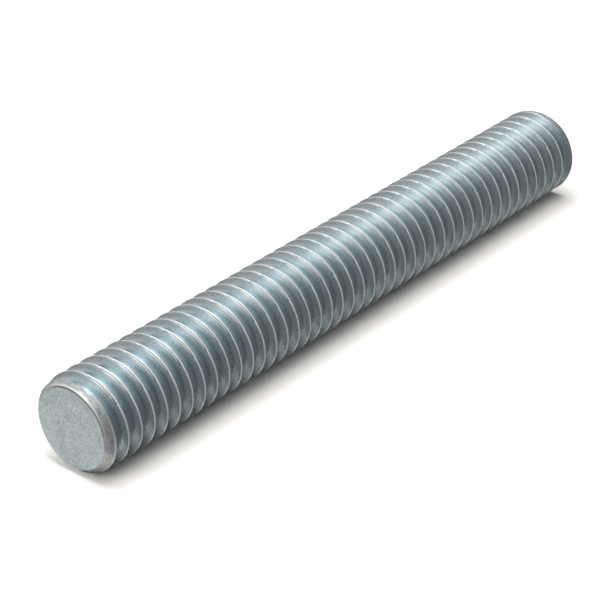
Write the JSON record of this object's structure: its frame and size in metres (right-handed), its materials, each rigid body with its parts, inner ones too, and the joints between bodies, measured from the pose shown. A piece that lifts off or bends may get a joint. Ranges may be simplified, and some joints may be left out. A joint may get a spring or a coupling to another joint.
{
  "type": "threaded rod",
  "caption": "Straight steel rod with a right-hand thread from end to end and a chamfer at each end, zinc plated, for nuts and tapped holes.",
  "frame": {"origin": "middle of the rod's lower end face", "axes": "+Z along the rod's axis, from the lower end to the upper end; +X is the direction from which the thread's start angle is measured"},
  "size_m": [0.008, 0.008, 0.062],
  "materials": {
    "zinc_plated_steel": "bright zinc plating, satin, with bright rubbed crests"
  },
  "bodies": {
    "root": {"threaded_rod": "zinc_plated_steel"}
  },
  "joints": []
}
